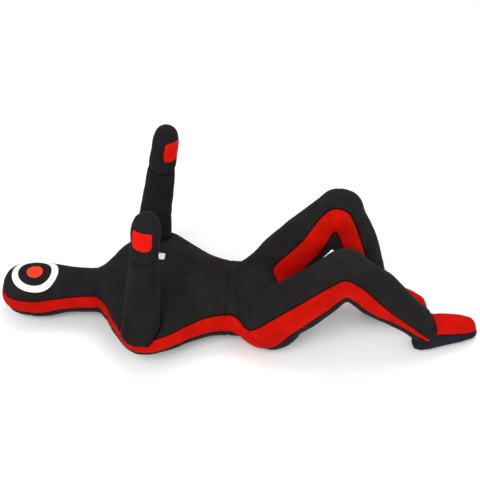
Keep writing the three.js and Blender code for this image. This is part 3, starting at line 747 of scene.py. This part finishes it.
def sort_faces(skin):
    """The piece each face belongs to, as {piece: face rows}."""
    p, tris = skin.rest, skin.tris

    def mean(values):
        return values[tris].mean(axis=1)

    d = {name: mean(values) for name, values in part_distances(p).items()}
    y = mean(p[:, 1])
    share = mean(front_share(p))
    panel = np.where(share > 1, "front", np.where(share < -1, "back", "strip"))
    names = np.full(len(tris), "none", dtype=object)
    sided = np.where(y < 0, "right", "left")
    neck = mean(BENDS["neck"].beyond(p)) > 0
    pelvis = mean(BENDS["waist"].beyond(p)) > 0
    chest = ~neck & ~pelvis
    for part, where in (("head", neck), ("chest", chest), ("pelvis", pelvis)):
        names[where & (panel == "front")] = f"{part}_front"
        names[where & (panel == "back")] = f"{part}_back"
        for side in SIDES:
            names[where & (panel == "strip") & (sided == side)] = f"{part}_strip_{side}"
    for side in SIDES:
        names[chest & (panel == "back") & (sided == side)] = f"chest_back_{side}"
    names[neck & (panel == "strip")] = "head_gusset"
    names[mean(in_zip(p)) * (mean(p[:, 2]) < 0.03) > 0] = "none"
    for side, sign in SIDES.items():
        thigh, shin, foot = LEGS[side]
        other = "left" if side == "right" else "right"
        own = leg_distance(d, side) < leg_distance(d, other)
        leg = own & (mean(BENDS[f"hip_{side}"].beyond(p)) > 0)
        past_knee = mean(BENDS[f"knee_{side}"].beyond(p)) > 0
        past_ankle = mean(BENDS[f"ankle_{side}"].beyond(p)) > 0
        out = mean(np.where(d_at(p, side), shin.split(p)[2], thigh.split(p)[2]))
        outer = out * np.sign(thigh.side[1] * sign) > 0
        strip = np.where(outer, "outer_strip", "inner_strip")
        kind = np.where(panel == "strip", strip, panel)
        for part, where in (("thigh", leg & ~past_knee), ("shin", leg & past_knee & ~past_ankle),
                            ("cuff", leg & past_knee & past_ankle)):
            for name in ("front", "back", "outer_strip", "inner_strip"):
                names[where & (kind == name)] = f"{part}_{name}_{side}"
        is_foot = leg & (mean(on_foot(p, side)) > 0) & (d[f"foot_{side}"] < 0.03)
        above = mean(on_instep(p, side)) > 0
        names[is_foot & above] = f"foot_instep_{side}"
        names[is_foot & ~above] = f"foot_sole_{side}"
        arm = (mean(on_arm(p, side)) > 0) & (d[f"arm_{side}"] < 0.03)
        raised = mean(BENDS[f"shoulder_{side}"].beyond(p)) > 0
        past_elbow = mean(BENDS[f"elbow_{side}"].beyond(p)) > 0
        hand = mean(on_mitt(p, side)) > 0
        names[arm & ~raised] = f"shoulder_{side}"
        names[arm & raised & ~past_elbow] = f"upper_arm_{side}"
        names[arm & past_elbow & ~hand] = f"forearm_{side}"
        names[arm & hand] = f"mitt_{side}"
    return {name: np.flatnonzero(names == name) for name in sorted(set(names)) if name != "none"}


def d_at(p, side):
    """True nearer the shin than the thigh."""
    thigh, shin, _ = LEGS[side]
    return round_limb(p, shin, shin_round) < round_limb(p, thigh, thigh_round)


HEM = 0.006                  # seam allowance turned in at every border


def border_edges(tris):
    a, b = tris.ravel(), np.roll(tris, -1, axis=1).ravel()
    n = int(tris.max()) + 1
    keys = np.minimum(a, b).astype(np.int64) * n + np.maximum(a, b)
    _, index, count = np.unique(keys, return_inverse=True, return_counts=True)
    single = count[index] == 1
    return a[single], b[single]


def make_piece(name, skin, faces, places, normals, seams):
    tris = skin.tris[faces]
    used, index = np.unique(tris, return_inverse=True)
    tris = index.reshape(-1, 3)
    verts, norms, near = places[used], normals[used], seams[used]
    a, b = border_edges(tris)
    rim = np.unique(np.concatenate([a, b]))
    lower = {v: len(verts) + i for i, v in enumerate(rim.tolist())}
    hem = verts[rim] - norms[rim] * HEM
    walls = [[q, p, lower[p], lower[q]] for p, q in zip(a.tolist(), b.tolist())]
    mesh = bpy.data.meshes.new(name)
    mesh.from_pydata(np.concatenate([verts, hem]).tolist(), [], tris.tolist() + walls)
    mesh.update()
    mesh.shade_smooth()
    all_norms = np.concatenate([norms, norms[rim]])
    mesh.normals_split_custom_set_from_vertices(all_norms.tolist())
    # Distance to the nearest seam, which the canvas material reads to darken the colour there: partly dark
    # thread, partly painted shade of the seam groove.
    seam = mesh.attributes.new("seam", "FLOAT", "POINT")
    seam.data.foreach_set("value", np.concatenate([near, near[rim]]).astype(np.float32))
    piece = bpy.data.objects.new(name, mesh)
    bpy.context.scene.collection.objects.link(piece)
    return piece


# ---------- materials ----------
def node(tree, kind, **settings):
    made = tree.nodes.new(kind)
    for name, value in settings.items():
        if name in made.inputs:
            made.inputs[name].default_value = value
        else:
            setattr(made, name, value)
    return made


def math_node(tree, operation, a, b=0.0):
    made = tree.nodes.new("ShaderNodeMath")
    made.operation = operation
    for socket, value in zip(made.inputs, (a, b)):
        if isinstance(value, (int, float)):
            socket.default_value = value
        else:
            tree.links.new(value, socket)
    return made.outputs[0]


def weave_height(tree, coords, thread):
    """Over-and-under threads on whichever way the cloth faces."""
    place = tree.nodes.new("ShaderNodeSeparateXYZ")
    facing = tree.nodes.new("ShaderNodeSeparateXYZ")
    tree.links.new(coords.outputs["Object"], place.inputs[0])
    tree.links.new(coords.outputs["Normal"], facing.inputs[0])
    turns = 2 * math.pi / (2 * thread)
    waves = [math_node(tree, "SINE", math_node(tree, "MULTIPLY", place.outputs[n], turns))
             for n in range(3)]
    total = 0.0
    for n in range(3):
        crossed = math_node(tree, "MULTIPLY", waves[(n + 1) % 3], waves[(n + 2) % 3])
        share = math_node(tree, "MULTIPLY", facing.outputs[n], facing.outputs[n])
        total = math_node(tree, "ADD", math_node(tree, "MULTIPLY", crossed, share), total)
    return total


def canvas(name, deep, plain, worn, rough=0.92, sheen=0.015, thread=0.0012, seam_thread_and_shade=True):
    """Woven cloth: its colour drifts, darkens at the seams and pales where it rubs. The seam darkening is
    partly dark thread and partly painted shade of the seam groove.
    """
    material = bpy.data.materials.new(name)
    material.use_nodes = True
    tree = material.node_tree
    shader = tree.nodes["Principled BSDF"]
    coords = tree.nodes.new("ShaderNodeTexCoord")
    patches = node(tree, "ShaderNodeTexNoise", Scale=14.0, Detail=4.0, Roughness=0.6)
    grain = node(tree, "ShaderNodeTexNoise", Scale=420.0, Detail=2.0, Roughness=0.7)
    for texture in (patches, grain):
        tree.links.new(coords.outputs["Object"], texture.inputs["Vector"])
    drift = node(tree, "ShaderNodeValToRGB")
    drift.color_ramp.elements[0].position, drift.color_ramp.elements[0].color = 0.36, (*deep, 1)
    drift.color_ramp.elements[1].position, drift.color_ramp.elements[1].color = 0.66, (*plain, 1)
    tree.links.new(patches.outputs["Fac"], drift.inputs["Fac"])
    geometry = tree.nodes.new("ShaderNodeNewGeometry")
    rubbed = math_node(tree, "MULTIPLY",
                       math_node(tree, "SUBTRACT", geometry.outputs["Pointiness"], 0.512), 14.0)
    speckle = math_node(tree, "MULTIPLY", grain.outputs["Fac"], 0.30)
    wear = node(tree, "ShaderNodeClamp")
    tree.links.new(math_node(tree, "ADD", math_node(tree, "MULTIPLY", rubbed, 0.35), speckle),
                   wear.inputs["Value"])
    mix = node(tree, "ShaderNodeMix", data_type="RGBA")
    mix.inputs["B"].default_value = (*worn, 1)
    mix.inputs[7].default_value = (*worn, 1)
    tree.links.new(wear.outputs[0], mix.inputs[0])
    tree.links.new(drift.outputs["Color"], mix.inputs[6])
    colour = mix.outputs[2]
    # Near each seam the colour is multiplied down to a tenth: partly dark thread, partly painted shade of
    # the seam groove.
    if seam_thread_and_shade:
        seam = node(tree, "ShaderNodeAttribute", attribute_name="seam")
        closeness = node(tree, "ShaderNodeMapRange")
        tree.links.new(seam.outputs["Fac"], closeness.inputs["Value"])
        for socket, value in zip(("From Min", "From Max", "To Min", "To Max"),
                                 (0.0006, 0.0042, 0.10, 1.0)):
            closeness.inputs[socket].default_value = value
        shade = node(tree, "ShaderNodeMix", data_type="RGBA", blend_type="MULTIPLY")
        shade.inputs[0].default_value = 1.0
        tree.links.new(colour, shade.inputs[6])
        tree.links.new(closeness.outputs[0], shade.inputs[7])
        colour = shade.outputs[2]
    tree.links.new(colour, shader.inputs["Base Color"])
    shader.inputs["Roughness"].default_value = rough
    shader.inputs["Sheen Weight"].default_value = sheen
    shader.inputs["Sheen Roughness"].default_value = 0.5
    shader.inputs["Specular IOR Level"].default_value = 0.03
    threads = node(tree, "ShaderNodeBump", Strength=0.35, Distance=0.0004)
    fine = node(tree, "ShaderNodeBump", Strength=0.25, Distance=0.002)
    crumple = node(tree, "ShaderNodeTexNoise", Scale=70.0, Detail=3.0)
    tree.links.new(coords.outputs["Object"], crumple.inputs["Vector"])
    tree.links.new(weave_height(tree, coords, thread), threads.inputs["Height"])
    tree.links.new(crumple.outputs["Fac"], fine.inputs["Height"])
    tree.links.new(threads.outputs[0], fine.inputs["Normal"])
    tree.links.new(fine.outputs[0], shader.inputs["Normal"])
    return material


def metal(name, colour):
    material = bpy.data.materials.new(name)
    material.use_nodes = True
    tree = material.node_tree
    shader = tree.nodes["Principled BSDF"]
    coords = tree.nodes.new("ShaderNodeTexCoord")
    scratches = node(tree, "ShaderNodeTexNoise", Scale=900.0, Detail=3.0)
    tree.links.new(coords.outputs["Object"], scratches.inputs["Vector"])
    ramp = node(tree, "ShaderNodeValToRGB")
    ramp.color_ramp.elements[0].color = (*[c * 0.6 for c in colour], 1)
    ramp.color_ramp.elements[1].color = (*colour, 1)
    tree.links.new(scratches.outputs["Fac"], ramp.inputs["Fac"])
    tree.links.new(ramp.outputs["Color"], shader.inputs["Base Color"])
    shader.inputs["Metallic"].default_value = 0.9
    shader.inputs["Roughness"].default_value = 0.38
    return material


BLACK = canvas("black_canvas", (0.0078, 0.0072, 0.0072), (0.0130, 0.0122, 0.0120), (0.030, 0.028, 0.0275))
SLEEVE = canvas("sleeve_canvas", (0.007, 0.0055, 0.006), (0.011, 0.009, 0.0095), (0.026, 0.023, 0.024))
RED = canvas("red_canvas", (0.33, 0.0025, 0.0007), (0.47, 0.0040, 0.0010), (0.57, 0.011, 0.003),
             rough=0.75, sheen=0.0)
NAVY = canvas("navy_canvas", (0.006, 0.006, 0.011), (0.010, 0.010, 0.019), (0.03, 0.03, 0.04))
RED_PATCH = canvas("red_patch", (0.55, 0.0030, 0.0008), (0.65, 0.0050, 0.0013), (0.71, 0.016, 0.006),
                   rough=0.65, sheen=0.0, seam_thread_and_shade=False)
DOT = canvas("dot_patch", (0.76, 0.030, 0.016), (0.86, 0.045, 0.024), (0.95, 0.09, 0.05),
             rough=0.65, sheen=0.0, seam_thread_and_shade=False)
WHITE = canvas("white_patch", (0.74, 0.72, 0.68), (0.82, 0.81, 0.78), (0.88, 0.87, 0.85),
               rough=0.7, sheen=0.0, seam_thread_and_shade=False)
LABEL = canvas("woven_label", (0.55, 0.54, 0.53), (0.66, 0.65, 0.64), (0.75, 0.74, 0.73),
               rough=0.7, sheen=0.0, thread=0.0006, seam_thread_and_shade=False)
TAPE = canvas("zip_tape", (0.010, 0.010, 0.011), (0.018, 0.018, 0.020), (0.05, 0.05, 0.05),
              thread=0.0008, seam_thread_and_shade=False)
METAL = metal("zip_metal", (0.33, 0.33, 0.34))


# ---------- pieces ----------
def dress(piece, material, slot, nodes, body=None, bend=None):
    piece.data.materials.clear()
    piece.data.materials.append(material)
    if bend is None:
        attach(piece, body)
    else:
        tuple(bend.start)
        tuple(bend.end)
        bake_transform(piece)
    if nodes:
        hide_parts(*nodes)


PANEL_NODE = {"front": "front_panel", "back": "back_panel"}


def plan_of(name):
    """Material, slot, CAD nodes, body and bend of one piece of the skin."""
    words = name.split("_")
    side = words[-1] if words[-1] in SIDES else None
    red = "strip" in words or "gusset" in words or "instep" in words
    look = (RED, "red_canvas") if red else (BLACK, "black_canvas")
    if name == "head_gusset":
        return *look, ["head_gusset"], None, BENDS["neck"]
    if words[0] == "head":
        return *look, [f"{name}_panel"] + (["head_fill"] if "front" in words else []), None, BENDS["neck"]
    if words[0] == "chest":
        if "strip" in words:
            return *look, [f"chest_gusset_{side}"], "chest", None
        nodes = [name] if side else ["chest_front_panel", "chest_fill"]
        return *look, nodes, "chest", None
    if words[0] == "pelvis":
        if "strip" in words:
            return *look, [f"pelvis_gusset_{side}"], None, BENDS["waist"]
        nodes = ["pelvis_front_panel", "pelvis_fill"] if "front" in words else ["pelvis_back_panel"]
        return *look, nodes, None, BENDS["waist"]
    if words[0] == "foot":
        look = look if red else (NAVY, "navy_canvas")
        nodes = [f"foot_instep_panel_{side}"] if red else [f"foot_sole_panel_{side}", f"foot_fill_{side}"]
        return *look, nodes, None, BENDS[f"ankle_{side}"]
    if words[0] in ("thigh", "shin", "cuff"):
        kind = "_".join(words[1:-1])
        bend = {"thigh": "hip", "shin": "knee", "cuff": "ankle"}[words[0]]
        if words[0] == "cuff":
            return *look, [], None, BENDS[f"{bend}_{side}"]
        nodes = [f"{words[0]}_{PANEL_NODE.get(kind, kind)}_{side}"]
        if kind == "front":
            nodes.append(f"{words[0]}_fill_{side}")
        return *look, nodes, None, BENDS[f"{bend}_{side}"]
    look = (SLEEVE, "black_canvas")
    if words[0] == "shoulder":
        return *look, [], "chest", None
    if words[0] == "upper":
        return *look, [f"upper_arm_sleeve_{side}", f"upper_arm_fill_{side}"], None, BENDS[f"shoulder_{side}"]
    if words[0] == "forearm":
        return *look, [f"forearm_sleeve_{side}", f"forearm_fill_{side}"], None, BENDS[f"elbow_{side}"]
    return *look, [f"hand_mitt_{side}"], f"forearm_{side}", None


def build_covers():
    skin = build_skin()
    cut_skin(skin)
    seams = seam_distances(skin.rest)
    normals = vertex_normals(skin.rest, skin.tris)
    places = skin.rest + normals * relief(skin.rest, seams)[:, None]
    places[:, 2] = np.maximum(places[:, 2], 0.0)
    normals = vertex_normals(places, skin.tris)
    for name, faces in sort_faces(skin).items():
        piece = make_piece(name, skin, faces, places, normals, seams)
        material, slot, nodes, body, bend = plan_of(name)
        dress(piece, material, slot, nodes, body, bend)
    return BVHTree.FromPolygons(places.tolist(), skin.tris.tolist())


surface = build_covers()


# ---------- sewn patches ----------
def patch(name, outline, origin, across, up, wrap=(9.0, 9.0), thickness=0.0013, inner=None,
          rings=10, around=72):
    """A thin patch laid on the surface round the radii in wrap. outline(angle) is its reach."""
    inward = -unit(np.cross(across, up))
    verts, faces = [], []
    edge = 0.0016
    for ring in range(rings + 1):
        for n in range(around):
            angle = 2 * math.pi * n / around
            far = outline(angle)
            near = inner(angle) if inner else 0.0
            reach = near + (far - near) * ring / rings
            flat = (math.cos(angle) * reach, math.sin(angle) * reach)
            u, v = (radius * math.sin(f / radius) for f, radius in zip(flat, wrap))
            spot = origin + across * u + up * v
            hit, normal, _, _ = surface.ray_cast(Vector(spot - inward * 0.25), Vector(inward))
            border = min(far - reach, reach - near if inner else 1.0)
            lift = thickness * math.sqrt(min(1.0, max(border, 0.0) / edge))
            verts.append(np.array(hit) + np.array(normal) * (lift - 0.0004))
    for ring in range(rings):
        for n in range(around):
            a, b = ring * around + n, ring * around + (n + 1) % around
            faces.append([a, a + around, b + around, b])
    if inner is None:
        verts = verts[around:] + [np.mean(verts[:around], axis=0)]
        faces = [[v - around for v in face] for face in faces[around:]]
        middle = len(verts) - 1
        faces += [[middle, n, (n + 1) % around] for n in range(around)]
    mesh = bpy.data.meshes.new(name)
    mesh.from_pydata([tuple(v) for v in verts], [], faces)
    mesh.update()
    mesh.shade_smooth()
    piece = bpy.data.objects.new(name, mesh)
    bpy.context.scene.collection.objects.link(piece)
    return piece


def rounded_box(half_width, half_length, power=5.0):
    def reach(angle):
        c, s = abs(math.cos(angle)) / half_width, abs(math.sin(angle)) / half_length
        return (c ** power + s ** power) ** (-1 / power)

    return reach


def place_patches():
    target = np.array([CROWN + TARGET_AT, 0.0, 0.0])
    across, up = np.array([1.0, 0, 0]), np.array([0, 1.0, 0])
    head_wrap = (9.0, HEAD_ROWS[1][1])
    ring = patch("target_ring", lambda a: TARGET_RING[0], target, across, up, head_wrap,
                 inner=lambda a: TARGET_RING[1], rings=8, around=128)
    dress(ring, WHITE, "white_patch", ["target_ring"], "head")
    dot = patch("target_dot", lambda a: TARGET_DOT, target, across, up, head_wrap, rings=9)
    dress(dot, DOT, "red_patch", ["target_dot"], "head")
    low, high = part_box("chest_label")
    label = patch("chest_label", rounded_box((high.x - low.x) / 2, (high.y - low.y) / 2, 8),
                  (np.array(low) + np.array(high)) / 2 * [1, 1, 0], across, up, rings=8)
    dress(label, LABEL, "label", ["chest_label"], "chest")
    for side in SIDES:
        arm = ARMS[side]
        turn = math.radians(PALM_TURN[side])
        facing = arm.front * math.cos(turn) + LEFTWARD * math.sin(turn)
        facing = unit(facing - (facing @ arm.along) * arm.along)
        middle = arm.start + arm.along * PALM_MIDDLE
        palm = patch(f"palm_patch_{side}", rounded_box(*PALM_PATCH, 4.5), middle,
                     np.cross(arm.along, facing), arm.along, (0.045, 9.0), rings=14, around=96)
        dress(palm, RED_PATCH, "red_patch", [f"palm_patch_{side}"], f"forearm_{side}")


place_patches()
bpy.data.objects["zip_slider"].data.materials.clear()
bpy.data.objects["zip_slider"].data.materials.append(METAL)
bpy.data.objects["zip_tape"].data.materials.clear()
bpy.data.objects["zip_tape"].data.materials.append(TAPE)


# ---------- floor, light and camera ----------
def plain_material(name, colour, rough):
    material = bpy.data.materials.new(name)
    material.use_nodes = True
    shader = material.node_tree.nodes["Principled BSDF"]
    shader.inputs["Base Color"].default_value = (*colour, 1)
    shader.inputs["Roughness"].default_value = rough
    return material


def area_light(name, place, aim, size, power):
    light = bpy.data.lights.new(name, "AREA")
    light.shape, light.size, light.energy = "DISK", size, power
    lamp = bpy.data.objects.new(name, light)
    lamp.location = place
    lamp.rotation_euler = (Vector(aim) - Vector(place)).to_track_quat("-Z", "Y").to_euler()
    bpy.context.scene.collection.objects.link(lamp)


def make_studio():
    mesh = bpy.data.meshes.new("studio_floor")
    reach = 14.0
    mesh.from_pydata([(-reach, -reach, -0.0005), (reach, -reach, -0.0005), (reach, reach, -0.0005),
                      (-reach, reach, -0.0005)], [], [(0, 1, 2, 3)])
    floor = bpy.data.objects.new("studio_floor", mesh)
    mesh.materials.append(plain_material("floor_paper", (0.90, 0.90, 0.90), 0.9))
    bpy.context.scene.collection.objects.link(floor)
    world = bpy.data.worlds.new("studio_world")
    world.use_nodes = True
    world.node_tree.nodes["Background"].inputs["Color"].default_value = (1, 1, 1, 1)
    world.node_tree.nodes["Background"].inputs["Strength"].default_value = 0.75
    bpy.context.scene.world = world
    area_light("key", (-1.2, -2.2, 3.0), (0, 0, 0.2), 2.2, 75)
    area_light("fill", (2.0, -1.6, 2.2), (0.2, 0, 0.2), 2.6, 28)
    area_light("top", (0.3, 1.2, 3.2), (0, 0, 0.2), 2.4, 40)


CAMERA_AZIMUTH, CAMERA_ELEVATION = 3.33, 46.72
CAMERA_DISTANCE = 3.2
CAMERA_TARGET = (0.0021, 0.0662, 0.2627)
CAMERA_LENS = 68.4


def make_camera():
    azimuth, elevation = math.radians(CAMERA_AZIMUTH), math.radians(CAMERA_ELEVATION)
    back = Vector((math.sin(azimuth) * math.cos(elevation), -math.cos(azimuth) * math.cos(elevation),
                   math.sin(elevation)))
    camera = bpy.data.objects.new("camera", bpy.data.cameras.new("camera"))
    camera.data.lens = CAMERA_LENS
    camera.data.sensor_width = 36.0
    camera.location = Vector(CAMERA_TARGET) + back * CAMERA_DISTANCE
    camera.rotation_euler = (-back).to_track_quat("-Z", "Y").to_euler()
    bpy.context.scene.collection.objects.link(camera)
    bpy.context.scene.camera = camera


make_studio()
make_camera()
bpy.context.scene.view_settings.view_transform = "Standard"
